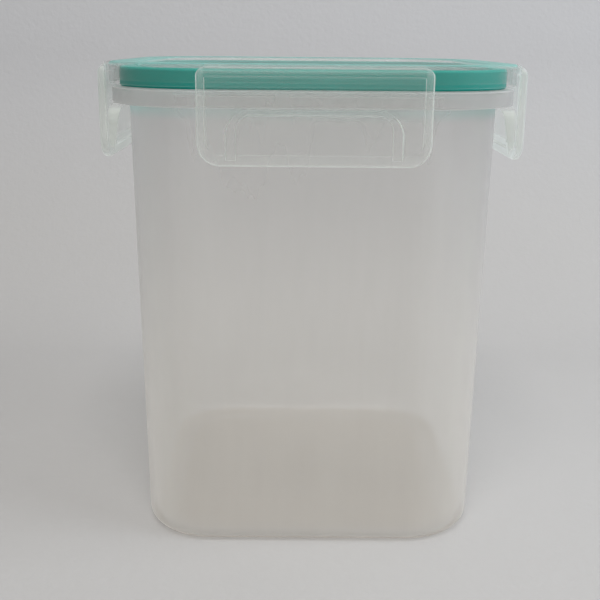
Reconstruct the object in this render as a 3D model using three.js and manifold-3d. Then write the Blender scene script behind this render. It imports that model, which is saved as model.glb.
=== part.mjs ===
// A square food canister: a tall tapered tub, a lid with a sealing gasket, and four flaps that fold
// down on living hinges and hook under the tub's rim.
//
// Millimetres, +Z up. The origin is the middle of the foot, so the table is the plane Z = 0, and the
// front faces -Y. "Half" dimensions run from the centre axis to the middle of a side.

import * as THREE from 'three';
import { mergeVertices } from 'three/addons/utils/BufferGeometryUtils.js';
import Module from 'manifold-3d';

const wasm = await Module();
wasm.setup();

// ---- Driving dimensions ----

const HEIGHT = 195; // table to the lid's raised border
const CORNER_INSET = 41; // all corner arcs are centred this far from both centre planes
const BASE_HALF = 70.2; // tub wall, outside, at the foot
const MOUTH_HALF = 72.4; // tub wall, outside, at the mouth
const LID_HALF = 79.8; // lid skirt, outside
const FLAP_REACH = 85.2; // outer face of a closed flap
const FLAP_WIDTH = 84;
const FLAP_DROP = 35.6; // lid's border to the lower edge of the closed front and back flaps
const SIDE_FLAP_DROP = 38.4; // the same for the two side flaps, which hang a little lower
const WALL = 1.6; // moulded wall thickness of the tub and the lid
const GAP = 0.3; // clearance between neighbouring pieces

// ---- Heights ----

const SKIRT_BOTTOM = HEIGHT - 8.2;
const LEDGE_TOP = SKIRT_BOTTOM - 1.3; // the tub's rim ledge, just below the lid's skirt
const LIP_BOTTOM = LEDGE_TOP - 6.1; // the ledge's turned-down lip, which the flaps hook under
const BEAD_TOP = LEDGE_TOP + 1.4; // the bead that presses into the gasket
const CHANNEL_ROOF = HEIGHT - WALL; // inside the lid's border, above the gasket
const PANEL_TOP = HEIGHT - 1.7; // the lid's panel is sunk, so another canister's foot sits in it
const PLUG_BOTTOM = LEDGE_TOP - 2.5; // the lid's plug reaches down into the mouth

// ---- Tub ----

const FOOT_RADIUS = 5; // rounding between the wall and the foot
const FOOT_RING = 7.5; // width of the ring that the tub stands on
const FOOT_ARCH = 0.8; // how far the underside is raised inside that ring
const FLOOR_TOP = 2.4;
const FLOOR_RADIUS = 6.5; // rounding inside, between the floor and the wall
const GATE_RADIUS = 2.2; // moulding mark in the middle of the floor
const GATE_HEIGHT = 0.4;
const LEDGE_HALF = LID_HALF - 1;
const BEAD_WIDTH = 2.7;

// ---- Lid and gasket ----

const PLUG_HALF = MOUTH_HALF - WALL - 0.7;
const PLUG_WALL = 1.2;
const CHANNEL_HALF = LID_HALF - 3.6; // inner face of the wall around the gasket
const CHANNEL_WALL = 1.2;
const CHANNEL_BOTTOM = SKIRT_BOTTOM + 1.4;
const PANEL_HALF = PLUG_HALF - 1.6;
const STEP_RUN = 0.8; // slope of the step from the panel up to the border
const EDGE_RADIUS = 1;
const GASKET_HALF = CHANNEL_HALF - 0.4;
const GASKET_INNER = PLUG_HALF + 0.4;
const GASKET_LIP = 1.8; // width of the gasket's lip, which rests on the ledge outside the bead

// ---- Flaps and their hinges ----

const FLAP_DEPTH = 3.2; // depth of a flap's edges
const FLAP_PLATE = 1.6; // thickness of its face
const FLAP_RIM = 2.8; // width of its side edges
const FLAP_LIP = 3.8; // height of its lower edge, where a finger lifts it
const FLAP_RADIUS = 8; // lower corners
const HINGE_WIDTH = 78;
const SHOULDER_DROP = 3.4; // the flap widens from the hinge to full width over this height
const FILM_THICKNESS = 0.6;
const FILM_LENGTH = 2;
const FILM_TOP = HEIGHT - 0.1;
const FILM_WAIST = 0.7; // thickness of a film at its middle, as a share of its edges
const FLAP_TOP = FILM_TOP - FILM_THICKNESS - GAP;
const HEAD_HEIGHT = 3.4; // solid bar along the hinge
const HEAD_ROUND_DEPTH = 3; // the head is rounded over its outer edge
const HEAD_ROUND_HEIGHT = 5;
const CATCH_WIDTH = 64;
const CATCH_HEIGHT = 2;
const CATCH_BITE = 1.4; // how far the catch reaches in under the lip
const CATCH_TOP = LIP_BOTTOM - GAP;
const CATCH_TIP = 1.4; // height of the catch's blunt tip
const CATCH_NOSE = 5.3; // from the catch's top down to where the stays stand clear of the lip
const STAY_WIDTH = 3.7; // the two stays that carry the catch's ends down to the lower edge
const STAY_RADIUS = 9; // bends between the catch and the stays, outside

// ---- Fineness ----

const CORNER_STEPS = 10; // chords in each corner arc, seen from above
const ARC_DIVISIONS = 3; // half the number of chords in each rounding of a profile
const CURVE_SEGMENTS = 8; // chords in each rounding of a flap's outline

const RIGHT_ANGLE = Math.PI / 2;

// ---- Shape helpers ----

// Turns a half profile of (half-width, height) points into a solid with a rounded-square plan. It is
// a lathe whose rings are pushed out to straight sides and quarter-circle corners. Rings smaller than
// the corner inset stay round.
function squareLathe(profile) {
  const points = profile.getPoints(ARC_DIVISIONS);
  const ringSize = CORNER_STEPS + 1;
  const geometry = new THREE.LatheGeometry(points, 4 * ringSize);
  const position = geometry.getAttribute('position');
  for (let i = 0; i < position.count; i += 1) {
    const ring = Math.floor(i / points.length) % (4 * ringSize);
    const point = points[i % points.length];
    const corner = Math.floor(ring / ringSize);
    const angle = (corner + (ring % ringSize) / CORNER_STEPS) * RIGHT_ANGLE;
    const middle = (corner + 0.5) * RIGHT_ANGLE;
    const inset = point.x > CORNER_INSET ? CORNER_INSET : 0;
    const x = Math.sign(Math.cos(middle)) * inset + (point.x - inset) * Math.cos(angle);
    const y = Math.sign(Math.sin(middle)) * inset + (point.x - inset) * Math.sin(angle);
    position.setXYZ(i, x, y, point.y);
  }
  return geometry;
}

// Flap pieces are drawn as seen from outside (x to the right, y up) and extruded outward from one
// distance from the centre to another. This turns them to face the front.
function extrudeOutward(shape, from, to) {
  const options = { depth: to - from, bevelEnabled: false, curveSegments: CURVE_SEGMENTS };
  const geometry = new THREE.ExtrudeGeometry(shape, options);
  geometry.translate(0, 0, from);
  geometry.rotateX(RIGHT_ANGLE);
  return geometry;
}

// Extrudes a section of (distance from the centre, height) points sideways, centred on the front.
function extrudeSideways(section, width) {
  const geometry = new THREE.ExtrudeGeometry(section, { depth: width, bevelEnabled: false });
  geometry.translate(0, 0, -width / 2);
  geometry.rotateX(RIGHT_ANGLE);
  geometry.rotateZ(-RIGHT_ANGLE);
  return geometry;
}

function shapeFrom(points) {
  return new THREE.Shape(points.map(([x, y]) => new THREE.Vector2(x, y)));
}

function toSolid(geometry) {
  const bare = geometry.clone();
  bare.deleteAttribute('normal');
  bare.deleteAttribute('uv');
  const merged = mergeVertices(bare, 1e-4);
  const vertProperties = new Float32Array(merged.getAttribute('position').array);
  const triVerts = new Uint32Array(merged.getIndex().array);
  return new wasm.Manifold(new wasm.Mesh({ numProp: 3, vertProperties, triVerts }));
}

function toGeometry(solid) {
  const mesh = solid.getMesh();
  const geometry = new THREE.BufferGeometry();
  geometry.setAttribute('position', new THREE.BufferAttribute(mesh.vertProperties, 3));
  geometry.setIndex(new THREE.BufferAttribute(mesh.triVerts, 1));
  geometry.computeVertexNormals();
  return geometry;
}

// ---- Tub ----

// From the middle of the underside, out and up the wall, around the rim and back down inside.
function tubProfile() {
  const standHalf = BASE_HALF - FOOT_RADIUS;
  const archHalf = standHalf - FOOT_RING;
  const wallTop = LEDGE_TOP - WALL;
  const beadOuter = MOUTH_HALF - WALL + BEAD_WIDTH;
  const lipInner = LEDGE_HALF - WALL;
  const floorHalf = BASE_HALF - WALL - FLOOR_RADIUS;
  const profile = new THREE.Path();
  profile.moveTo(0, FOOT_ARCH);
  profile.lineTo(archHalf - FOOT_ARCH, FOOT_ARCH);
  profile.lineTo(archHalf, 0);
  profile.lineTo(standHalf, 0);
  profile.absarc(standHalf, FOOT_RADIUS, FOOT_RADIUS, -RIGHT_ANGLE, 0);
  profile.lineTo(MOUTH_HALF, wallTop);
  profile.lineTo(lipInner, wallTop);
  profile.lineTo(lipInner, LIP_BOTTOM);
  profile.lineTo(LEDGE_HALF, LIP_BOTTOM);
  profile.absarc(LEDGE_HALF - EDGE_RADIUS, LEDGE_TOP - EDGE_RADIUS, EDGE_RADIUS, 0, RIGHT_ANGLE);
  profile.lineTo(beadOuter, LEDGE_TOP);
  profile.lineTo(beadOuter, BEAD_TOP - EDGE_RADIUS);
  profile.absarc(beadOuter - EDGE_RADIUS, BEAD_TOP - EDGE_RADIUS, EDGE_RADIUS, 0, RIGHT_ANGLE);
  profile.lineTo(MOUTH_HALF - WALL, BEAD_TOP);
  profile.lineTo(BASE_HALF - WALL, FLOOR_TOP + FLOOR_RADIUS);
  profile.absarc(floorHalf, FLOOR_TOP + FLOOR_RADIUS, FLOOR_RADIUS, 0, -RIGHT_ANGLE, true);
  profile.lineTo(GATE_RADIUS, FLOOR_TOP);
  profile.lineTo(GATE_RADIUS, FLOOR_TOP + GATE_HEIGHT);
  profile.lineTo(0, FLOOR_TOP + GATE_HEIGHT);
  return profile;
}

// ---- Lid ----

// From the middle of the underside, around the plug, the gasket channel and the skirt, then back
// over the border to the middle of the sunk panel.
function lidProfile() {
  const panelBottom = PANEL_TOP - WALL;
  const plugInner = PLUG_HALF - PLUG_WALL;
  const channelOuter = CHANNEL_HALF + CHANNEL_WALL;
  const profile = new THREE.Path();
  profile.moveTo(0, panelBottom);
  profile.lineTo(plugInner, panelBottom);
  profile.lineTo(plugInner, PLUG_BOTTOM);
  profile.lineTo(PLUG_HALF, PLUG_BOTTOM);
  profile.lineTo(PLUG_HALF, CHANNEL_ROOF);
  profile.lineTo(CHANNEL_HALF, CHANNEL_ROOF);
  profile.lineTo(CHANNEL_HALF, CHANNEL_BOTTOM);
  profile.lineTo(channelOuter, CHANNEL_BOTTOM);
  profile.lineTo(channelOuter, CHANNEL_ROOF);
  profile.lineTo(LID_HALF - WALL, CHANNEL_ROOF);
  profile.lineTo(LID_HALF - WALL, SKIRT_BOTTOM);
  profile.lineTo(LID_HALF, SKIRT_BOTTOM);
  profile.absarc(LID_HALF - EDGE_RADIUS, HEIGHT - EDGE_RADIUS, EDGE_RADIUS, 0, RIGHT_ANGLE);
  profile.lineTo(PANEL_HALF + STEP_RUN, HEIGHT);
  profile.lineTo(PANEL_HALF, PANEL_TOP);
  profile.lineTo(0, PANEL_TOP);
  return profile;
}

// ---- Gasket ----

// A band in the lid's channel, with an outer lip that comes down beside the tub's bead.
function gasketProfile() {
  const top = CHANNEL_ROOF - GAP;
  const seat = BEAD_TOP + GAP;
  const lipBottom = LEDGE_TOP + GAP;
  const lipInner = GASKET_HALF - GASKET_LIP;
  const profile = new THREE.Path();
  profile.moveTo(GASKET_INNER, seat);
  profile.lineTo(lipInner, seat);
  profile.lineTo(lipInner, lipBottom);
  profile.lineTo(GASKET_HALF, lipBottom);
  profile.absarc(GASKET_HALF - EDGE_RADIUS, top - EDGE_RADIUS, EDGE_RADIUS, 0, RIGHT_ANGLE);
  profile.absarc(GASKET_INNER + EDGE_RADIUS, top - EDGE_RADIUS, EDGE_RADIUS, RIGHT_ANGLE, Math.PI);
  profile.lineTo(GASKET_INNER, seat);
  return profile;
}

// ---- Flap ----

// The flap's outline: as wide as the hinge at the top, full width below, rounded lower corners.
function flapOutline(bottom) {
  const hingeHalf = HINGE_WIDTH / 2;
  const half = FLAP_WIDTH / 2;
  const shoulder = FLAP_TOP - SHOULDER_DROP;
  const outline = new THREE.Shape();
  outline.moveTo(-hingeHalf, FLAP_TOP);
  outline.quadraticCurveTo(-half, FLAP_TOP, -half, shoulder);
  outline.absarc(-half + FLAP_RADIUS, bottom + FLAP_RADIUS, FLAP_RADIUS, Math.PI, 3 * RIGHT_ANGLE);
  outline.absarc(half - FLAP_RADIUS, bottom + FLAP_RADIUS, FLAP_RADIUS, 3 * RIGHT_ANGLE, 2 * Math.PI);
  outline.lineTo(half, shoulder);
  outline.quadraticCurveTo(half, FLAP_TOP, hingeHalf, FLAP_TOP);
  return outline;
}

// The flap in section, from its inner to its outer face, with the head rounded over at the top.
function flapSection(bottom) {
  const inner = FLAP_REACH - FLAP_DEPTH;
  const roundStart = FLAP_REACH - HEAD_ROUND_DEPTH;
  const roundBottom = FLAP_TOP - HEAD_ROUND_HEIGHT;
  const section = new THREE.Shape();
  section.moveTo(inner, bottom);
  section.lineTo(FLAP_REACH, bottom);
  section.absellipse(roundStart, roundBottom, HEAD_ROUND_DEPTH, HEAD_ROUND_HEIGHT, 0, RIGHT_ANGLE);
  section.lineTo(inner, FLAP_TOP);
  return section;
}

// The shallow recess behind the flap's face, between its rims, its lower edge and its head.
function flapRecess(bottom) {
  const half = FLAP_WIDTH / 2 - FLAP_RIM;
  const low = bottom + FLAP_LIP;
  const top = FLAP_TOP - HEAD_HEIGHT;
  const radius = FLAP_RADIUS - FLAP_RIM;
  const recess = new THREE.Shape();
  recess.moveTo(-half, top);
  recess.absarc(-half + radius, low + radius, radius, Math.PI, 3 * RIGHT_ANGLE);
  recess.absarc(half - radius, low + radius, radius, 3 * RIGHT_ANGLE, 2 * Math.PI);
  recess.lineTo(half, top);
  return recess;
}

// An upside-down U: the catch below the tub's lip, with a stay at each end down to the lower edge.
function catchFrame(bottom) {
  const half = CATCH_WIDTH / 2;
  const innerHalf = half - STAY_WIDTH;
  const radius = STAY_RADIUS - STAY_WIDTH;
  const low = bottom + FLAP_LIP / 2;
  const outerBend = CATCH_TOP - STAY_RADIUS;
  const innerBend = CATCH_TOP - CATCH_HEIGHT - radius;
  const frame = new THREE.Shape();
  frame.moveTo(-half, low);
  frame.lineTo(-innerHalf, low);
  frame.absarc(-innerHalf + radius, innerBend, radius, Math.PI, RIGHT_ANGLE, true);
  frame.absarc(innerHalf - radius, innerBend, radius, RIGHT_ANGLE, 0, true);
  frame.lineTo(innerHalf, low);
  frame.lineTo(half, low);
  frame.absarc(half - STAY_RADIUS, outerBend, STAY_RADIUS, 0, RIGHT_ANGLE);
  frame.absarc(-half + STAY_RADIUS, outerBend, STAY_RADIUS, RIGHT_ANGLE, Math.PI);
  return frame;
}

// The catch and its stays in section: flat on top to hook the lip, a blunt tip, a slope that lets it
// ride over the lip, then a longer one that brings the stays back to the flap's rim at the bottom.
function catchSection(bottom) {
  const tip = LEDGE_HALF - CATCH_BITE;
  return shapeFrom([
    [tip, CATCH_TOP],
    [tip, CATCH_TOP - CATCH_TIP],
    [LEDGE_HALF + GAP, CATCH_TOP - CATCH_NOSE],
    [FLAP_REACH - FLAP_DEPTH, bottom],
    [FLAP_REACH, bottom],
    [FLAP_REACH, CATCH_TOP],
  ]);
}

function flapGeometry(drop) {
  const bottom = HEIGHT - drop;
  const inner = FLAP_REACH - FLAP_DEPTH;
  const plateInner = FLAP_REACH - FLAP_PLATE;
  const plateMiddle = FLAP_REACH - FLAP_PLATE / 2;
  const outline = toSolid(extrudeOutward(flapOutline(bottom), inner, FLAP_REACH));
  const section = toSolid(extrudeSideways(flapSection(bottom), FLAP_WIDTH));
  const recess = toSolid(extrudeOutward(flapRecess(bottom), inner - FLAP_DEPTH, plateInner));
  const frame = toSolid(extrudeOutward(catchFrame(bottom), LEDGE_HALF - CATCH_BITE, plateMiddle));
  const slope = toSolid(extrudeSideways(catchSection(bottom), CATCH_WIDTH));
  const shell = outline.intersect(section).subtract(recess);
  return toGeometry(shell.add(frame.intersect(slope)));
}

// ---- Hinge film ----

// A strip of the lid moulding, thinned in the middle so that it bends: section across the hinge.
function filmGeometry() {
  const from = LID_HALF + GAP;
  const to = from + FILM_LENGTH;
  const middle = (from + to) / 2;
  const section = shapeFrom([
    [from, FILM_TOP],
    [from, FILM_TOP - FILM_THICKNESS],
    [middle, FILM_TOP - FILM_WAIST * FILM_THICKNESS],
    [to, FILM_TOP - FILM_THICKNESS],
    [to, FILM_TOP],
  ]);
  return extrudeSideways(section, HINGE_WIDTH);
}

// ---- Materials ----

const frostedPlastic = { color: 0xd9d8d3, roughness: 0.42, transparent: true, opacity: 0.55 };
const clearPlastic = { color: 0xdfe6e4, roughness: 0.28, transparent: true, opacity: 0.5 };
const tealSilicone = { color: 0x3fa391, roughness: 0.55 };

function piece(name, geometry, look) {
  const mesh = new THREE.Mesh(geometry, new THREE.MeshStandardMaterial({ metalness: 0, ...look }));
  mesh.name = name;
  return mesh;
}

// ---- Assembly ----

const canister = new THREE.Group();
canister.add(piece('tub', squareLathe(tubProfile()), frostedPlastic));
canister.add(piece('gasket', squareLathe(gasketProfile()), tealSilicone));
canister.add(piece('lid', squareLathe(lidProfile()), clearPlastic));

['front', 'right', 'back', 'left'].forEach((side, quarterTurns) => {
  const drop = quarterTurns % 2 === 0 ? FLAP_DROP : SIDE_FLAP_DROP;
  const turned = new THREE.Group();
  turned.rotation.z = quarterTurns * RIGHT_ANGLE;
  turned.add(piece(`${side}_hinge_film`, filmGeometry(), clearPlastic));
  turned.add(piece(`${side}_flap`, flapGeometry(drop), clearPlastic));
  canister.add(turned);
});

export default canister;
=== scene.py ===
# A square food canister: a milky tub, a clearer lid with four living-hinge flaps, and a teal gasket.
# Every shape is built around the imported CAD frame, in metres and in the same axes.

import math

import bmesh
import bpy
from mathutils import Matrix, Vector


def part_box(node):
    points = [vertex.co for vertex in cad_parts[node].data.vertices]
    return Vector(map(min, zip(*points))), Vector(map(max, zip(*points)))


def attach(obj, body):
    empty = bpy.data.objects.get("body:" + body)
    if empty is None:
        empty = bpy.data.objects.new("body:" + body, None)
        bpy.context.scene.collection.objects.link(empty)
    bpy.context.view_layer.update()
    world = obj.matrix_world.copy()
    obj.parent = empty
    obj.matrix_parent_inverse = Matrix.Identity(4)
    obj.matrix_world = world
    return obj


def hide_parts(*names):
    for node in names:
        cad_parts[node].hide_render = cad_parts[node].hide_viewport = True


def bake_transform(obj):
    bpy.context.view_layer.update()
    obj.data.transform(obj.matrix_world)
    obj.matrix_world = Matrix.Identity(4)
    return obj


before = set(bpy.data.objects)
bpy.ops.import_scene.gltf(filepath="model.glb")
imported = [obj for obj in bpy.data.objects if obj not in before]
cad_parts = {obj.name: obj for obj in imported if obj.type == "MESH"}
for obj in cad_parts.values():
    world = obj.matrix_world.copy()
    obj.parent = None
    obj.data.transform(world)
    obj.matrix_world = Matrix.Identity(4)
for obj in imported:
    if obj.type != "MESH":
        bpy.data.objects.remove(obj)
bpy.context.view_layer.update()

MM = 0.001

# ---- Sizes read from the frame ----

TUB_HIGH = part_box("tub")[1]
LID_LOW, LID_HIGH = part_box("lid")
GASKET_LOW, GASKET_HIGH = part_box("gasket")
FLAP_LOW, FLAP_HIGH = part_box("front_flap")
SIDE_FLAP_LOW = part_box("right_flap")[0]
FILM_LOW, FILM_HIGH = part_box("front_hinge_film")

HEIGHT = LID_HIGH.z
LID_HALF = LID_HIGH.x
LEDGE_HALF = TUB_HIGH.x
BEAD_TOP = TUB_HIGH.z
PLUG_BOTTOM = LID_LOW.z
GASKET_HALF = GASKET_HIGH.x
GASKET_TOP = GASKET_HIGH.z
GASKET_BOTTOM = GASKET_LOW.z
FLAP_HALF = FLAP_HIGH.x
FLAP_BOTTOM = FLAP_LOW.z
SIDE_FLAP_BOTTOM = SIDE_FLAP_LOW.z
FLAP_TOP = FLAP_HIGH.z
FLAP_REACH = -FLAP_LOW.y
CATCH_TIP = -FLAP_HIGH.y
HINGE_HALF = FILM_HIGH.x
FILM_TOP = FILM_HIGH.z
FILM_END = -FILM_LOW.y

# ---- Sizes of the mouldings ----

WALL = 1.6 * MM
GAP = 0.3 * MM
CORNER_INSET = 41 * MM
BASE_HALF = 70.2 * MM
MOUTH_HALF = 72.4 * MM
FOOT_RADIUS = 5 * MM
FOOT_RING = 7.5 * MM
FOOT_ARCH = 0.8 * MM
FLOOR_TOP = 2.4 * MM
FLOOR_RADIUS = 6.5 * MM
WALL_SINK = 0.45 * MM
BEAD_WIDTH = 2.7 * MM
LEDGE_TOP = GASKET_BOTTOM - GAP
LIP_BOTTOM = LEDGE_TOP - 6.1 * MM
SKIRT_BOTTOM = LEDGE_TOP + 1.3 * MM
PANEL_TOP = HEIGHT - 1.7 * MM
PANEL_HALF = MOUTH_HALF - 3.9 * MM
PLUG_HALF = MOUTH_HALF - 2.3 * MM
PLUG_WALL = 1.2 * MM
CHANNEL_HALF = GASKET_HALF + 0.4 * MM
CHANNEL_WALL = 1.2 * MM
CHANNEL_ROOF = HEIGHT - WALL
FLAP_DEPTH = 3.2 * MM
FLAP_RIM = 2.8 * MM
FLAP_LIP = 3.8 * MM
FLAP_RADIUS = 8 * MM
FLAP_SHOULDER = 3.2 * MM
HEAD_ROUND_DEPTH = 3 * MM
HEAD_ROUND_HEIGHT = 5 * MM
CATCH_HALF = 32 * MM
CATCH_TOP = LIP_BOTTOM - GAP
CATCH_BLUNT = 1.4 * MM
CATCH_NOSE = 5.3 * MM
CATCH_HEIGHT = 2 * MM
STAY_WIDTH = 3.7 * MM
STAY_RADIUS = 9 * MM
FILM_HALF = 0.3 * MM  # half its thickness
FILM_THINNING = 0.12 * MM  # how much less that is at the hinge line
FILM_NARROWING = 0.6 * MM
FILM_RADIUS = 1.4 * MM
FILM_ROOT = 1.2 * MM  # how deep the strip reaches into the lid's edge
MARK_HEIGHT = 0.4 * MM

# ---- Fineness ----

CORNER_STEPS = 14
SIDE_STEPS = 10
STRAIGHT_STEP = 9 * MM
FINE_STEP = 0.5 * MM
ARC_STEP = math.radians(15)  # in a rounding of 1 mm radius, finer in larger ones

SIDES = ("front", "right", "back", "left")


# ---- Mesh helpers ----


def smooth(low, high, value):
    """0 below low, 1 above high, with a soft start and end."""
    t = min(max((value - low) / (high - low), 0), 1)
    return t * t * (3 - 2 * t)


def fillet(corners, closed=False):
    """Points of an outline given as (across, up, radius) corners, each corner turned into an arc."""
    points = []
    count = len(corners)
    for i, (across, up, radius) in enumerate(corners):
        here = Vector((across, up))
        is_end = not closed and i in (0, count - 1)
        if radius == 0 or is_end:
            points.append(here)
            continue
        before = (Vector(corners[i - 1][:2]) - here).normalized()
        after = (Vector(corners[(i + 1) % count][:2]) - here).normalized()
        half_angle = before.angle(after) / 2
        centre = here + (before + after).normalized() * radius / math.sin(half_angle)
        first = here + before * radius / math.tan(half_angle) - centre
        last = here + after * radius / math.tan(half_angle) - centre
        turn = math.atan2(first.x * last.y - first.y * last.x, first.dot(last))
        steps = max(2, math.ceil(abs(turn) / ARC_STEP * math.sqrt(radius / MM)))
        for k in range(steps + 1):
            points.append(centre + Matrix.Rotation(turn * k / steps, 2) @ first)
    return points


def subdivide(points, longest=STRAIGHT_STEP):
    """The same outline with its long straight stretches cut into shorter ones."""
    out = [points[0]]
    for a, b in zip(points, points[1:]):
        parts = max(1, math.ceil((b - a).length / longest))
        out += [a.lerp(b, k / parts) for k in range(1, parts + 1)]
    return out


def square_ring(half):
    """A rounded square seen from above. Small ones turn into circles, for marks round the middle."""
    inset = CORNER_INSET * smooth(4 * MM, 50 * MM, half)
    radius = half - inset
    ring = []
    for corner in range(4):
        turned = Matrix.Rotation(corner * math.pi / 2, 2)
        centre = Vector((inset, inset))
        for k in range(CORNER_STEPS + 1):
            angle = math.pi / 2 * k / CORNER_STEPS
            arm = Vector((math.cos(angle), math.sin(angle))) * radius
            ring.append(turned @ (centre + arm))
        for k in range(1, SIDE_STEPS):
            along = inset * (1 - 2 * k / SIDE_STEPS)
            ring.append(turned @ Vector((along, half)))
    return ring


def make_object(name, mesh_data):
    mesh = bpy.data.meshes.new(name)
    mesh_data.to_mesh(mesh)
    mesh_data.free()
    mesh.polygons.foreach_set("use_smooth", [True] * len(mesh.polygons))
    piece = bpy.data.objects.new(name, mesh)
    bpy.context.scene.collection.objects.link(piece)
    return piece


def loft(rings, wrap=False):
    """A skin through rings of equal length. The two ends are closed unless the last ring meets the first."""
    bm = bmesh.new()
    rows = [[bm.verts.new(point) for point in ring] for ring in rings]
    pairs = list(zip(rows, rows[1:]))
    if wrap:
        pairs.append((rows[-1], rows[0]))
    for low, high in pairs:
        for k in range(len(low)):
            following = (k + 1) % len(low)
            bm.faces.new((low[k], low[following], high[following], high[k]))
    if not wrap:
        bm.faces.new(rows[0])
        bm.faces.new(rows[-1])
    bmesh.ops.recalc_face_normals(bm, faces=bm.faces)
    return bm


def square_moulding(name, corners, closed=False):
    """A moulding with a rounded-square plan, from the (half-width, height, radius) corners of its profile."""
    points = fillet(corners, closed)
    points = subdivide(points + points[:1] if closed else points)
    if closed:
        points.pop()
    rings = []
    for point in points:
        ring = square_ring(max(point.x, 0.2 * MM))
        rings.append([Vector((p.x, p.y, point.y)) for p in ring])
    return make_object(name, loft(rings, wrap=closed))


def keep_flats_flat(piece):
    """Shades large flat faces flat and lets only the small roundings carry the curve."""
    piece.data.set_sharp_from_angle(angle=math.radians(40))
    modifier = piece.modifiers.new("flats", "WEIGHTED_NORMAL")
    modifier.keep_sharp = True
    modifier.weight = 80


def joined(name, parts):
    """One closed skin around overlapping closed parts."""
    base = parts[0]
    for other in parts[1:]:
        cut = base.modifiers.new("join", "BOOLEAN")
        cut.operation = "UNION"
        cut.solver = "EXACT"
        cut.object = other
    evaluated = base.evaluated_get(bpy.context.evaluated_depsgraph_get())
    mesh = bpy.data.meshes.new_from_object(evaluated)
    for part in parts:
        bpy.data.objects.remove(part)
    piece = bpy.data.objects.new(name, mesh)
    bpy.context.scene.collection.objects.link(piece)
    return piece


# ---- Tub ----


def sink_walls(piece):
    """Draws the middle of each tall wall in a little, as a moulded wall does while it cools."""
    for vertex in piece.data.vertices:
        height = math.sin(math.pi * min(max(vertex.co.z / LIP_BOTTOM, 0), 1)) ** 2
        for axis, other in ((0, 1), (1, 0)):
            side = vertex.co[axis]
            if abs(side) > BASE_HALF - FLOOR_RADIUS:
                bell = max(0, 1 - (vertex.co[other] / CORNER_INSET) ** 2) ** 2
                vertex.co[axis] -= math.copysign(WALL_SINK * height * bell, side)


def build_tub():
    arch_half = BASE_HALF - FOOT_RADIUS - FOOT_RING
    ledge_under = LEDGE_TOP - WALL
    lip_inner = LEDGE_HALF - WALL
    bead_outer = MOUTH_HALF - WALL + BEAD_WIDTH
    piece = square_moulding(
        "tub_shell",
        [
            (0, FOOT_ARCH, 0),
            (arch_half - FOOT_ARCH, FOOT_ARCH, 0.5 * MM),
            (arch_half, 0, 0.4 * MM),
            (BASE_HALF, 0, FOOT_RADIUS),
            (MOUTH_HALF, ledge_under, 1.0 * MM),
            (lip_inner, ledge_under, 0.8 * MM),
            (lip_inner, LIP_BOTTOM, 0.5 * MM),
            (LEDGE_HALF, LIP_BOTTOM, 0.7 * MM),
            (LEDGE_HALF, LEDGE_TOP, 0.6 * MM),
            (bead_outer, LEDGE_TOP, 0.3 * MM),
            (bead_outer, BEAD_TOP, 0.9 * MM),
            (MOUTH_HALF - WALL, BEAD_TOP, 0.8 * MM),
            (BASE_HALF - WALL, FLOOR_TOP, FLOOR_RADIUS),
            (3.6 * MM, FLOOR_TOP, 0),
            (2.6 * MM, FLOOR_TOP, 0.3 * MM),
            (2.2 * MM, FLOOR_TOP + MARK_HEIGHT, 0.2 * MM),
            (0.8 * MM, FLOOR_TOP + 0.35 * MM, 0.2 * MM),
            (0, FLOOR_TOP + 0.1 * MM, 0),
        ],
    )
    sink_walls(piece)
    return piece


# ---- Lid ----


def build_lid():
    panel_bottom = PANEL_TOP - WALL
    plug_inner = PLUG_HALF - PLUG_WALL
    channel_outer = CHANNEL_HALF + CHANNEL_WALL
    channel_bottom = SKIRT_BOTTOM + 1.4 * MM
    skirt_inner = LID_HALF - WALL
    return square_moulding(
        "lid_shell",
        [
            (0, panel_bottom, 0),
            (plug_inner, panel_bottom, 0.8 * MM),
            (plug_inner, PLUG_BOTTOM, 0.5 * MM),
            (PLUG_HALF, PLUG_BOTTOM, 0.5 * MM),
            (PLUG_HALF, CHANNEL_ROOF, 0.3 * MM),
            (CHANNEL_HALF, CHANNEL_ROOF, 0.3 * MM),
            (CHANNEL_HALF, channel_bottom, 0.5 * MM),
            (channel_outer, channel_bottom, 0.5 * MM),
            (channel_outer, CHANNEL_ROOF, 0.2 * MM),
            (skirt_inner, CHANNEL_ROOF, 0.2 * MM),
            (skirt_inner, SKIRT_BOTTOM, 0.4 * MM),
            (LID_HALF, SKIRT_BOTTOM, 0.4 * MM),
            (LID_HALF, HEIGHT, 1.1 * MM),
            (PANEL_HALF + 0.8 * MM, HEIGHT, 0.9 * MM),
            (PANEL_HALF, PANEL_TOP, 0.7 * MM),
            (4.2 * MM, PANEL_TOP, 0),
            (3.2 * MM, PANEL_TOP, 0.4 * MM),
            (2.8 * MM, PANEL_TOP - MARK_HEIGHT, 0.3 * MM),
            (0.9 * MM, PANEL_TOP - MARK_HEIGHT, 0.2 * MM),
            (0.7 * MM, PANEL_TOP - 0.1 * MM, 0.1 * MM),
            (0, PANEL_TOP - 0.1 * MM, 0),
        ],
    )


# ---- Gasket ----


def build_gasket():
    seat = BEAD_TOP + GAP
    inner = PLUG_HALF + 0.4 * MM
    lip_inner = GASKET_HALF - 1.8 * MM
    return square_moulding(
        "gasket_ring",
        [
            (inner, seat, 0.5 * MM),
            (lip_inner, seat, 0.4 * MM),
            (lip_inner, GASKET_BOTTOM, 0.6 * MM),
            (GASKET_HALF, GASKET_BOTTOM, 0.7 * MM),
            (GASKET_HALF, GASKET_TOP, 1.0 * MM),
            (inner, GASKET_TOP, 1.0 * MM),
        ],
        closed=True,
    )


# ---- Flap ----


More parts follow.
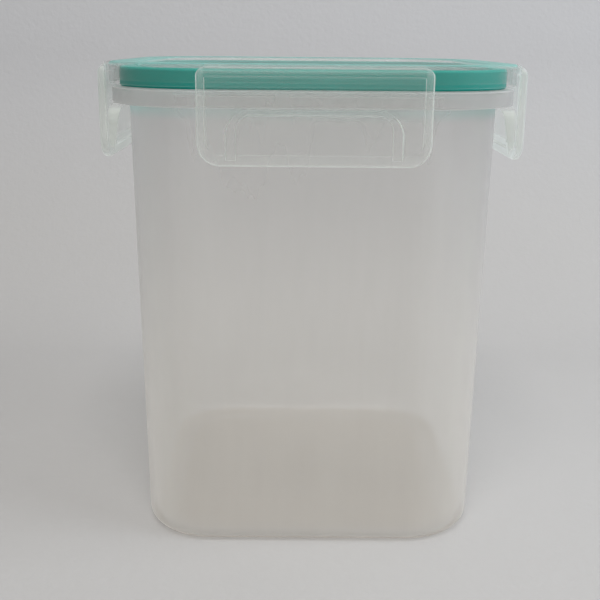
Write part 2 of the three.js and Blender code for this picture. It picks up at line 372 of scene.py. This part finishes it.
def plate_ring(half, bottom, top, bottom_radius, top_radius):
    """A rounded rectangle in the front view, as (across, up) points, always with the same count."""
    corners = [
        (half, top, top_radius),
        (-half, top, top_radius),
        (-half, bottom, bottom_radius),
        (half, bottom, bottom_radius),
    ]
    ring = []
    for i, (across, up, radius) in enumerate(corners):
        centre = Vector((across - math.copysign(radius, across), up + (radius if i > 1 else -radius)))
        for k in range(CORNER_STEPS // 2 + 1):
            angle = math.pi / 2 * (i + k / (CORNER_STEPS // 2))
            ring.append(centre + Vector((math.cos(angle), math.sin(angle))) * radius)
    return ring


def rounded_head(depth, up):
    """Moves a point of the flap inwards near the top, so that the head is rounded over its outer edge."""
    inner = FLAP_REACH - FLAP_DEPTH
    rise = min(max((up - FLAP_TOP) / HEAD_ROUND_HEIGHT + 1, 0), 1)
    outer = FLAP_REACH - HEAD_ROUND_DEPTH * (1 - math.sqrt(1 - rise * rise))
    return inner + (depth - inner) * (outer - inner) / FLAP_DEPTH


def flap_plate(bottom):
    """The flap's face with its rounded edges, its raised rims behind and the recess between them."""
    inner = FLAP_REACH - FLAP_DEPTH
    plate_inner = FLAP_REACH - WALL
    middle = 14 * MM
    section = fillet(
        [
            (middle, FLAP_REACH, 0),
            (0, FLAP_REACH, 1.1 * MM),
            (0, inner, 0.9 * MM),
            (FLAP_RIM, inner, 0.5 * MM),
            (FLAP_RIM, plate_inner, 0.9 * MM),
            (middle, plate_inner, 0),
        ]
    )
    rings = []
    for inset, depth in subdivide(section, FINE_STEP):
        share = min(inset / FLAP_RIM, 1)
        low_inset = inset + share * (FLAP_LIP - FLAP_RIM)
        high_inset = inset + share * (FLAP_SHOULDER - FLAP_RIM)
        ring = plate_ring(
            FLAP_HALF - inset,
            bottom + low_inset,
            FLAP_TOP - high_inset,
            max(FLAP_RADIUS - inset, 1.5 * MM),
            max(FLAP_SHOULDER - inset, 0.8 * MM),
        )
        rings.append([Vector((p.x, -rounded_head(depth, p.y), p.y)) for p in ring])
    return make_object("flap_plate", loft(rings))


def catch_inner(up, bottom):
    """Inner face of the catch and its stays: a blunt tip, a slope past the lip, a longer one to the rim."""
    tip_bottom = CATCH_TOP - CATCH_BLUNT
    clear_of_lip = CATCH_TOP - CATCH_NOSE
    if up > clear_of_lip:
        share = max((tip_bottom - up) / (tip_bottom - clear_of_lip), 0)
        return CATCH_TIP + share * (LEDGE_HALF + GAP - CATCH_TIP)
    share = (clear_of_lip - up) / (clear_of_lip - bottom)
    return LEDGE_HALF + GAP + share * (FLAP_REACH - FLAP_DEPTH - LEDGE_HALF - GAP)


def catch_outline(bottom, inset):
    """The front view of the upside-down U, drawn in by an inset for its softened edges."""
    low = bottom + FLAP_LIP / 2
    outer = CATCH_HALF - inset
    inner = CATCH_HALF - STAY_WIDTH + inset
    top = CATCH_TOP - inset
    bar_bottom = CATCH_TOP - CATCH_HEIGHT + inset
    corners = [
        (-outer, low, 0),
        (-inner, low, 0),
        (-inner, bar_bottom, STAY_RADIUS - STAY_WIDTH),
        (inner, bar_bottom, STAY_RADIUS - STAY_WIDTH),
        (inner, low, 0),
        (outer, low, 0),
        (outer, top, STAY_RADIUS),
        (-outer, top, STAY_RADIUS),
    ]
    return fillet(corners, closed=True)


def catch_frame(bottom):
    """The upside-down U behind the flap: the catch under the tub's lip and a stay down each end."""
    outer = FLAP_REACH - WALL / 2
    edge = 0.4 * MM
    rings = []
    # Three steps round off the inner edges, and the last ring ends inside the flap's face.
    for inset, reach in ((edge, 0), (0.3 * edge, 0.3 * edge), (0, edge), (0, None)):
        ring = []
        for across, up in catch_outline(bottom, inset):
            depth = outer if reach is None else catch_inner(up, bottom) + reach
            ring.append(Vector((across, -depth, up)))
        rings.append(ring)
    return make_object("catch_frame", loft(rings))


def build_flap(side, quarter):
    """One flap, built facing the front and turned to its side."""
    bottom = SIDE_FLAP_BOTTOM if quarter % 2 else FLAP_BOTTOM
    flap = joined(f"{side}_flap_shell", [flap_plate(bottom), catch_frame(bottom)])
    flap.data.polygons.foreach_set("use_smooth", [True] * len(flap.data.polygons))
    flap.data.transform(Matrix.Rotation(quarter * math.pi / 2, 4, "Z"))
    return flap


# ---- Hinge films ----


def build_film(side, quarter):
    """A thin strip that leaves the lid's edge, thins at the hinge line and turns down into the flap."""
    start = LID_HALF - FILM_ROOT
    centre_height = FILM_TOP - FILM_HALF - 0.02 * MM
    turned_down = FLAP_REACH - 2 * MM
    path = fillet(
        [
            (start, centre_height, 0),
            (turned_down, centre_height, FILM_RADIUS),
            (turned_down, FLAP_TOP - 2.2 * MM, 0),
        ]
    )
    path = subdivide(path, FINE_STEP)
    hinge = Vector((FILM_END + GAP, centre_height))
    rings = []
    for i, point in enumerate(path):
        along = path[min(i + 1, len(path) - 1)] - path[max(i - 1, 0)]
        normal = Vector((-along.y, along.x)).normalized()
        from_hinge = (point - hinge).length
        thickness = FILM_HALF - FILM_THINNING * (1 - smooth(0, 1.4 * MM, from_hinge))
        half = HINGE_HALF - FILM_NARROWING * (1 - smooth(0, 2 * MM, from_hinge))
        ring = []
        for sign in (1, -1):
            for k in range(SIDE_STEPS + 1):
                across = sign * half * (1 - 2 * k / SIDE_STEPS)
                place = point + normal * thickness * sign
                ring.append(Vector((across, -place.x, place.y)))
        rings.append(ring)
    film = make_object(f"{side}_hinge_strip", loft(rings))
    film.data.transform(Matrix.Rotation(quarter * math.pi / 2, 4, "Z"))
    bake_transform(film)
    return film


# ---- Materials ----

EDGE_ON_COSINE = 0.16  # a skin seen flatter than this looks no denser
BEHIND_COSINE = 0.75  # the same for the skins behind the first wall, and for shadows
EDGE_POINTINESS = (0.526, 0.54)  # from a gentle rounding to a sharp edge
BACK_SHARE = 0.58  # of the scattered light, the part that comes from behind the skin
CLOTH_BEND = (0.03, 0.22)  # heights between which the floor's tone turns into the wall's lighter, cooler one, painted light on the same pale cloth
DUST = (0.5, 0.49, 0.47)
LID_MILK = (0.90, 0.94, 0.92)
# Painted gasket light: the gasket's teal light, painted into the plastic below the tub's lip and into the
# lid's border.
PAINTED_GASKET_LIGHT = (0.31, 0.69, 0.64)


class Nodes:
    """A short way to wire a material's nodes."""

    def __init__(self, name):
        self.material = bpy.data.materials.new(name)
        self.material.use_nodes = True
        self.tree = self.material.node_tree
        self.tree.nodes.clear()
        coordinates = self.add("ShaderNodeTexCoord").outputs
        self.place = coordinates["Object"]
        self.normal = coordinates["Normal"]
        self.x, self.y, self.z = self.add("ShaderNodeSeparateXYZ", Vector=self.place).outputs

    def add(self, kind, settings=None, **inputs):
        node = self.tree.nodes.new(kind)
        for key, value in (settings or {}).items():
            setattr(node, key, value)
        for key, value in inputs.items():
            self.feed(node.inputs[key.replace("_", " ")], value)
        return node

    def feed(self, socket, value):
        if isinstance(value, bpy.types.NodeSocket):
            self.tree.links.new(value, socket)
        else:
            socket.default_value = value

    def math(self, operation, a, b=0.0, clamp=False):
        node = self.tree.nodes.new("ShaderNodeMath")
        node.operation = operation
        node.use_clamp = clamp
        self.feed(node.inputs[0], a)
        self.feed(node.inputs[1], b)
        return node.outputs[0]

    def noise(self, scale, detail=3.0, stretch=(1, 1, 1)):
        mapping = self.add("ShaderNodeMapping", Vector=self.place, Scale=stretch)
        node = self.add("ShaderNodeTexNoise", Vector=mapping.outputs[0], Scale=scale, Detail=detail)
        return node.outputs["Fac"]

    def mix(self, share, first, second):
        node = self.tree.nodes.new("ShaderNodeMixShader")
        self.feed(node.inputs[0], share)
        self.tree.links.new(first, node.inputs[1])
        self.tree.links.new(second, node.inputs[2])
        return node.outputs[0]

    def band(self, value, none, full):
        """0 where the value is at none, 1 where it is at full."""
        settings = {"interpolation_type": "SMOOTHSTEP", "clamp": True}
        node = self.add("ShaderNodeMapRange", settings, Value=value, From_Min=none, From_Max=full)
        return node.outputs[0]

    def ramp(self, share, low, high):
        """A colour between the low and the high one. Either may come from another node."""
        node = self.tree.nodes.new("ShaderNodeMix")
        node.data_type = "RGBA"
        self.feed(node.inputs[0], share)
        for socket, color in ((node.inputs[6], low), (node.inputs[7], high)):
            self.feed(socket, (*color, 1) if isinstance(color, tuple) else color)
        return node.outputs[2]

    def finish(self, shader):
        output = self.add("ShaderNodeOutputMaterial")
        self.tree.links.new(shader, output.inputs["Surface"])
        return self.material


def no_mask(n):
    return 0.0


def painted_gasket_light_under_lip(n):
    """Just below the tub's lip: painted gasket light, the gasket's teal light painted onto the wall there."""
    top = LIP_BOTTOM - 1 * MM
    rising = n.band(n.z, top - 5 * MM, top)
    return n.math("MULTIPLY", rising, n.band(n.z, top + 1 * MM, top))


def border_thickness_and_gasket_light(n):
    """The lid's raised border, over the gasket: thicker plastic, with painted gasket light, the gasket's teal
    painted into its colour.
    """
    return n.band(n.z, PANEL_TOP, HEIGHT)


def floor_thickness_and_painted_shade(n):
    """1 in the floor of the tub and where its foot meets the table, 0 in its walls. There the plastic is
    denser, and its darker, warmer colour is painted shade, with a painted contact shadow along the foot's
    lowest edge.
    """
    past_x = n.math("MAXIMUM", n.math("SUBTRACT", n.math("ABSOLUTE", n.x), CORNER_INSET), 0.0)
    past_y = n.math("MAXIMUM", n.math("SUBTRACT", n.math("ABSOLUTE", n.y), CORNER_INSET), 0.0)
    squares = n.math("ADD", n.math("MULTIPLY", past_x, past_x), n.math("MULTIPLY", past_y, past_y))
    edge = BASE_HALF - CORNER_INSET
    inside = n.band(n.math("SQRT", squares), edge - 3 * MM, edge - 5 * MM)
    floor = n.math("MULTIPLY", inside, n.band(n.z, 5.4 * MM, 4.2 * MM))
    # Along the lowest edge: a painted contact shadow where the foot meets the table.
    return n.math("MAXIMUM", floor, n.band(n.z, 2.6 * MM, 1.4 * MM))


def flap_mask(n):
    """1 in a flap's end faces, which one sees the whole length of the moulding through, less in its rims."""
    blur = 0.4 * MM
    rim = FLAP_HALF - FLAP_RIM
    lip = FLAP_BOTTOM + FLAP_LIP
    abs_x = n.math("ABSOLUTE", n.x)
    abs_y = n.math("ABSOLUTE", n.y)
    rims = n.band(n.math("MINIMUM", abs_x, abs_y), rim - blur, rim + blur)
    rims = n.math("MAXIMUM", rims, n.band(n.z, lip + blur, lip - blur))
    normal_x, normal_y, _ = n.add("ShaderNodeSeparateXYZ", Vector=n.normal).outputs
    is_side = n.math("GREATER_THAN", abs_x, abs_y)
    along_x = n.math("MULTIPLY", n.math("ABSOLUTE", normal_x), n.math("SUBTRACT", 1.0, is_side))
    along_y = n.math("MULTIPLY", n.math("ABSOLUTE", normal_y), is_side)
    ends = n.band(n.math("ADD", along_x, along_y), 0.6, 0.9)
    return n.math("MAXIMUM", ends, n.math("MULTIPLY", rims, 0.25))


def translucent_plastic(
    name,
    milk,
    haze,
    glow,
    blocking,
    gasket_light_mask=no_mask,
    thick=no_mask,
    thick_haze=0,
    thick_milk_and_painted_light=DUST,
):
    """Thin moulded polypropylene. Each skin lets most light straight through and scatters the rest.

    The milk is a pair of colours, at the table and at the lid; in the tub the darker one at the lid is
    painted shade under the lid and lip. The haze is the share of light that one skin scatters, and the glow
    what sharp edges add to it. Blocking is how strongly the milk holds back shadow rays. The gasket light
    mask says where painted gasket light, the gasket's teal light, is mixed into the colour, and the thick
    mask where the moulding is thicker, with a haze and a colour of its own. That colour is partly painted
    light: painted shade in the tub's floor with a painted contact shadow at its foot, and painted gasket
    light in the lid's border.
    """
    n = Nodes(name)
    path = n.add("ShaderNodeLightPath").outputs
    surface = n.add("ShaderNodeNewGeometry").outputs
    relief = n.math("ADD", n.math("MULTIPLY", n.noise(420, 2.0), 0.12), n.noise(22, 2.0))
    bump = n.add("ShaderNodeBump", Height=relief, Strength=0.3, Distance=0.25 * MM)
    normal = bump.outputs[0]

    # More plastic lies in the way where a skin is seen edge on. The first wall blurs the ones behind it.
    facing = n.add("ShaderNodeLayerWeight", Blend=0.5).outputs["Facing"]
    cosine = n.math("MAXIMUM", n.math("SUBTRACT", 1.0, facing), EDGE_ON_COSINE)
    is_behind = n.math("GREATER_THAN", path["Transparent Depth"], 1.5)
    is_plain = n.math("MAXIMUM", is_behind, path["Is Shadow Ray"])
    cosine = n.math("MAXIMUM", cosine, n.math("MULTIPLY", is_plain, BEHIND_COSINE))

    # Cloudy streaks along the flow, and light that comes out at thin moulded edges.
    cloud = n.math("MULTIPLY", n.math("SUBTRACT", n.noise(9, 3.0, (6, 6, 0.7)), 0.5), 0.27 * haze)
    edge = n.band(surface["Pointiness"], *EDGE_POINTINESS)
    thick_and_painted_zone = thick(n)
    share = n.math("ADD", n.math("ADD", haze, cloud), n.math("MULTIPLY", edge, glow))
    seen = n.math("SUBTRACT", 1.0, path["Is Shadow Ray"])
    thickness = n.math("MULTIPLY", n.math("MULTIPLY", thick_and_painted_zone, seen), thick_haze)
    share = n.math("ADD", share, thickness, clamp=True)
    clear = n.math("POWER", n.math("SUBTRACT", 1.0, share), n.math("DIVIDE", 1.0, cosine))

    # The milk scatters mostly forwards, so the shadows of the walls are light.
    shadow = n.math("ADD", seen, n.math("MULTIPLY", path["Is Shadow Ray"], blocking))
    dense = n.math("MULTIPLY", n.math("SUBTRACT", 1.0, clear), shadow, clamp=True)

    # Darker towards the lid: in the tub this is painted shade under the lid and lip.
    shade = n.ramp(n.band(n.z, 0.2 * HEIGHT, 1.05 * HEIGHT), *milk)
    shade = n.ramp(n.math("MULTIPLY", n.noise(30, 4.0), 0.04), shade, DUST)
    # Painted gasket light, mixed in where its mask says.
    shade = n.ramp(n.math("MULTIPLY", gasket_light_mask(n), 0.4), shade, PAINTED_GASKET_LIGHT)
    # The thick zones' colour: painted shade and a painted contact shadow in the tub's floor and foot, painted
    # gasket light in the lid's border, the flaps' own colour in their rims and ends.
    shade = n.ramp(thick_and_painted_zone, shade, thick_milk_and_painted_light)
    front = n.add("ShaderNodeBsdfDiffuse", Color=shade, Normal=normal).outputs[0]
    back = n.add("ShaderNodeBsdfTranslucent", Color=shade, Normal=normal).outputs[0]
    through = n.add("ShaderNodeBsdfTransparent", Color=(0.998, 0.997, 0.994, 1)).outputs[0]
    body = n.mix(dense, through, n.mix(BACK_SHARE, front, back))
    shine = n.add("ShaderNodeBsdfGlossy", Roughness=0.36, Normal=normal).outputs[0]
    mirror = n.math("ADD", n.math("MULTIPLY", n.math("POWER", facing, 5.0), 0.35), 0.018)
    return n.finish(n.mix(mirror, body, shine))


def silicone(name):
    """Soft teal rubber: dull, faintly mottled, with a light bloom at grazing angles. Light leaks through."""
    n = Nodes(name)
    tone = n.ramp(n.noise(45, 4.0), (0.003, 0.25, 0.21), (0.006, 0.29, 0.245))
    bump = n.add("ShaderNodeBump", Height=n.noise(600, 3.0), Strength=0.3, Distance=0.2 * MM)
    skin = n.add(
        "ShaderNodeBsdfPrincipled",
        Base_Color=tone,
        Roughness=0.55,
        Normal=bump.outputs[0],
        Specular_IOR_Level=0.2,
        Sheen_Weight=0.04,
        Sheen_Roughness=0.4,
    )
    leak = n.add("ShaderNodeBsdfTransparent", Color=(0.75, 0.95, 0.92, 1)).outputs[0]
    is_shadow = n.add("ShaderNodeLightPath").outputs["Is Shadow Ray"]
    return n.finish(n.mix(n.math("MULTIPLY", is_shadow, 0.6), skin.outputs[0], leak))


def cloth_backdrop(name):
    """A pale matt sweep. It can be seen only from its front, so views from behind pass through it."""
    n = Nodes(name)
    tone = n.ramp(n.noise(6, 3.0), (0.48, 0.47, 0.464), (0.505, 0.495, 0.489))
    low, high = CLOTH_BEND
    # Painted light: the wall part of the same pale cloth is painted lighter and cooler than the floor.
    tone = n.ramp(n.band(n.z, low, high), tone, (0.555, 0.554, 0.568))
    bump = n.add("ShaderNodeBump", Height=n.noise(260, 4.0), Strength=0.25, Distance=1 * MM)
    matt = n.add("ShaderNodeBsdfDiffuse", Color=tone, Normal=bump.outputs[0]).outputs[0]
    clear = n.add("ShaderNodeBsdfTransparent").outputs[0]
    behind = n.add("ShaderNodeNewGeometry").outputs["Backfacing"]
    return n.finish(n.mix(behind, matt, clear))


# ---- Stage ----


def build_stage():
    """A floor that curves up into a wall a little behind the canister."""
    reach = 2.4
    curve_start = 0.14
    profile = fillet([(-reach, 0, 0), (curve_start + 0.22, 0, 0.2), (curve_start + 0.32, reach, 0)])
    bm = bmesh.new()
    rows = []
    for depth, up in subdivide(profile, 0.2):
        rows.append([bm.verts.new((x, depth, up)) for x in (-reach, reach)])
    for low, high in zip(rows, rows[1:]):
        bm.faces.new((low[0], low[1], high[1], high[0]))
    sweep = make_object("studio_sweep", bm)
    sweep.data.materials.append(cloth_backdrop("studio_cloth"))


def area_light(name, place, target, size, power, color):
    data = bpy.data.lights.new(name, "AREA")
    data.shape = "DISK"
    data.size = size
    data.energy = power
    data.color = color
    light = bpy.data.objects.new(name, data)
    light.location = place
    light.rotation_euler = (Vector(target) - Vector(place)).to_track_quat("-Z", "Y").to_euler()
    bpy.context.scene.collection.objects.link(light)


def room():
    """Even light from all round, a little dimmer and warmer on the left."""
    world = bpy.data.worlds.new("room")
    world.use_nodes = True
    tree = world.node_tree
    direction = tree.nodes.new("ShaderNodeTexCoord")
    across = tree.nodes.new("ShaderNodeSeparateXYZ")
    blend = tree.nodes.new("ShaderNodeMapRange")
    blend.data_type = "FLOAT_VECTOR"
    position, from_low, from_high, to_low, to_high = blend.inputs[6:11]
    from_low.default_value = (-1, -1, -1)
    from_high.default_value = (1, 1, 1)
    to_low.default_value = (0.33, 0.32, 0.298)
    to_high.default_value = (0.455, 0.452, 0.445)
    tree.links.new(direction.outputs["Generated"], across.inputs[0])
    tree.links.new(across.outputs["X"], position)
    tree.links.new(blend.outputs[1], tree.nodes["Background"].inputs[0])
    return world


def build_lights():
    middle = (0, 0, HEIGHT / 2)
    area_light("ceiling_lamp", (-0.03, -0.6, 1.25), middle, 0.55, 8.4, (1.0, 0.985, 0.96))
    area_light("window_right", (1.1, -0.3, 0.9), middle, 0.9, 10.5, (0.86, 0.93, 1.0))
    bpy.context.scene.world = room()


def build_camera():
    """Standing a little above the lid and looking down at the front."""
    data = bpy.data.cameras.new("camera")
    data.lens = 54.6
    data.sensor_width = 36
    camera = bpy.data.objects.new("camera", data)
    distance = 2.108 * HEIGHT
    height = 1.0394 * HEIGHT
    offset = -0.0359 * HEIGHT
    pitch = math.radians(15.85)
    yaw = math.radians(0.41)
    roll = math.radians(0.52)
    aim = Matrix.Rotation(-yaw, 4, "Z") @ Matrix.Rotation(math.pi / 2 - pitch, 4, "X")
    place = Matrix.Translation((offset, -distance, height))
    camera.matrix_world = place @ aim @ Matrix.Rotation(roll, 4, "Z")
    bpy.context.scene.collection.objects.link(camera)
    bpy.context.scene.camera = camera


# ---- Assembly ----


def place(piece, node, body, slot, material):
    piece.data.materials.clear()
    piece.data.materials.append(material)
    keep_flats_flat(piece)
    if body:
        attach(piece, body)
    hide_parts(node)


# The tub's milk darkens towards the lid as painted shade; painted gasket light sits below its lip, and
# painted shade with a contact shadow in its floor and foot.
tub_plastic = translucent_plastic(
    "tub_polypropylene",
    milk=((0.88, 0.86, 0.83), (0.70, 0.69, 0.69)),
    haze=0.3,
    glow=0.6,
    blocking=0.45,
    gasket_light_mask=painted_gasket_light_under_lip,
    thick=floor_thickness_and_painted_shade,
    thick_haze=0.2,
    thick_milk_and_painted_light=(0.66, 0.62, 0.57),
)
# The lid's border carries painted gasket light.
lid_plastic = translucent_plastic(
    "lid_polypropylene",
    milk=(LID_MILK, LID_MILK),
    haze=0.009,
    glow=0.04,
    blocking=0.6,
    thick=border_thickness_and_gasket_light,
    thick_haze=0.28,
    thick_milk_and_painted_light=PAINTED_GASKET_LIGHT,
)
flap_plastic = translucent_plastic(
    "flap_polypropylene",
    milk=(LID_MILK, LID_MILK),
    haze=0.06,
    glow=0,
    blocking=1,
    thick=flap_mask,
    thick_haze=0.45,
    thick_milk_and_painted_light=(0.85, 0.885, 0.84),
)
film_plastic = translucent_plastic(
    "film_polypropylene",
    milk=(LID_MILK, LID_MILK),
    haze=0.004,
    glow=0.02,
    blocking=0.6,
)
gasket_rubber = silicone("teal_silicone")

place(build_tub(), "tub", "tub", "tub_plastic", tub_plastic)
place(build_lid(), "lid", "lid", "lid_plastic", lid_plastic)
place(build_gasket(), "gasket", "lid", "gasket_silicone", gasket_rubber)
for quarter, side in enumerate(SIDES):
    place(build_flap(side, quarter), f"{side}_flap", f"{side}_flap", "lid_plastic", flap_plastic)
    place(build_film(side, quarter), f"{side}_hinge_film", None, "lid_plastic", film_plastic)

build_stage()
build_lights()
build_camera()

scene = bpy.context.scene
scene.view_settings.view_transform = "Standard"
scene.cycles.transparent_max_bounces = 48
scene.cycles.max_bounces = 12
